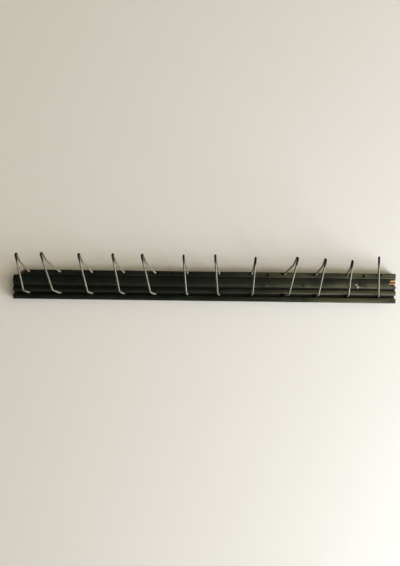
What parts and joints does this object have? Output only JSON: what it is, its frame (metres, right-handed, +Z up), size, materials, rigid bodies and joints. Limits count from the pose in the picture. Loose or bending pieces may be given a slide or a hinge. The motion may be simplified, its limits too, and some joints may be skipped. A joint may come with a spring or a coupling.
{
  "type": "wall hook rack",
  "caption": "Moulded wooden wall rail with a row of bent wire coat hooks, each swinging sideways on upright pins.",
  "frame": {"origin": "centre of the rail's flat back face, on the wall, at half the rail's height", "axes": "+X along the rail to the viewer's right, -Y out of the wall towards the viewer, +Z up"},
  "size_m": [1.2, 0.141, 0.1432],
  "materials": {
    "rail_paint": "worn satin black paint",
    "hook_steel": "dull zinc coating",
    "pin_steel": "plain drawn",
    "screw_steel": "bright zinc coating"
  },
  "bodies": {
    "rail": {"rail": "rail_paint", "upper_pin_01": "pin_steel", "upper_pin_02": "pin_steel", "upper_pin_03": "pin_steel", "upper_pin_04": "pin_steel", "upper_pin_05": "pin_steel", "upper_pin_06": "pin_steel", "upper_pin_07": "pin_steel", "upper_pin_08": "pin_steel", "upper_pin_09": "pin_steel", "upper_pin_10": "pin_steel", "upper_pin_11": "pin_steel", "upper_pin_12": "pin_steel", "lower_pin_01": "pin_steel", "lower_pin_02": "pin_steel", "lower_pin_03": "pin_steel", "lower_pin_04": "pin_steel", "lower_pin_05": "pin_steel", "lower_pin_06": "pin_steel", "lower_pin_07": "pin_steel", "lower_pin_08": "pin_steel", "lower_pin_09": "pin_steel", "lower_pin_10": "pin_steel", "lower_pin_11": "pin_steel", "lower_pin_12": "pin_steel", "wall_screw_left": "screw_steel", "wall_screw_right": "screw_steel"},
    "hook_01_wire": {"hook_01": "hook_steel"},
    "hook_02_wire": {"hook_02": "hook_steel"},
    "hook_03_wire": {"hook_03": "hook_steel"},
    "hook_04_wire": {"hook_04": "hook_steel"},
    "hook_05_wire": {"hook_05": "hook_steel"},
    "hook_06_wire": {"hook_06": "hook_steel"},
    "hook_07_wire": {"hook_07": "hook_steel"},
    "hook_08_wire": {"hook_08": "hook_steel"},
    "hook_09_wire": {"hook_09": "hook_steel"},
    "hook_10_wire": {"hook_10": "hook_steel"},
    "hook_11_wire": {"hook_11": "hook_steel"},
    "hook_12_wire": {"hook_12": "hook_steel"}
  },
  "joints": [
    {"name": "hook_01_swing", "type": "hinge", "parent": "rail", "child": "hook_01_wire", "pos_m": [-0.55, -0.015, 0], "axis": [0, 0, 1], "range_deg": [-24, 32]},
    {"name": "hook_02_swing", "type": "hinge", "parent": "rail", "child": "hook_02_wire", "pos_m": [-0.45, -0.015, 0], "axis": [0, 0, 1], "range_deg": [-5.5, 50.5]},
    {"name": "hook_03_swing", "type": "hinge", "parent": "rail", "child": "hook_03_wire", "pos_m": [-0.35, -0.015, 0], "axis": [0, 0, 1], "range_deg": [-14, 42]},
    {"name": "hook_04_swing", "type": "hinge", "parent": "rail", "child": "hook_04_wire", "pos_m": [-0.25, -0.015, 0], "axis": [0, 0, 1], "range_deg": [-14.5, 41.5]},
    {"name": "hook_05_swing", "type": "hinge", "parent": "rail", "child": "hook_05_wire", "pos_m": [-0.15, -0.015, 0], "axis": [0, 0, 1], "range_deg": [-5, 51]},
    {"name": "hook_06_swing", "type": "hinge", "parent": "rail", "child": "hook_06_wire", "pos_m": [-0.05, -0.015, 0], "axis": [0, 0, 1], "range_deg": [-21, 35]},
    {"name": "hook_07_swing", "type": "hinge", "parent": "rail", "child": "hook_07_wire", "pos_m": [0.05, -0.015, 0], "axis": [0, 0, 1], "range_deg": [-16.5, 39.5]},
    {"name": "hook_08_swing", "type": "hinge", "parent": "rail", "child": "hook_08_wire", "pos_m": [0.15, -0.015, 0], "axis": [0, 0, 1], "range_deg": [-29, 27]},
    {"name": "hook_09_swing", "type": "hinge", "parent": "rail", "child": "hook_09_wire", "pos_m": [0.25, -0.015, 0], "axis": [0, 0, 1], "range_deg": [-45, 11]},
    {"name": "hook_10_swing", "type": "hinge", "parent": "rail", "child": "hook_10_wire", "pos_m": [0.35, -0.015, 0], "axis": [0, 0, 1], "range_deg": [-32.5, 23.5]},
    {"name": "hook_11_swing", "type": "hinge", "parent": "rail", "child": "hook_11_wire", "pos_m": [0.45, -0.015, 0], "axis": [0, 0, 1], "range_deg": [-18.5, 37.5]},
    {"name": "hook_12_swing", "type": "hinge", "parent": "rail", "child": "hook_12_wire", "pos_m": [0.55, -0.015, 0], "axis": [0, 0, 1], "range_deg": [-5, 51]}
  ]
}
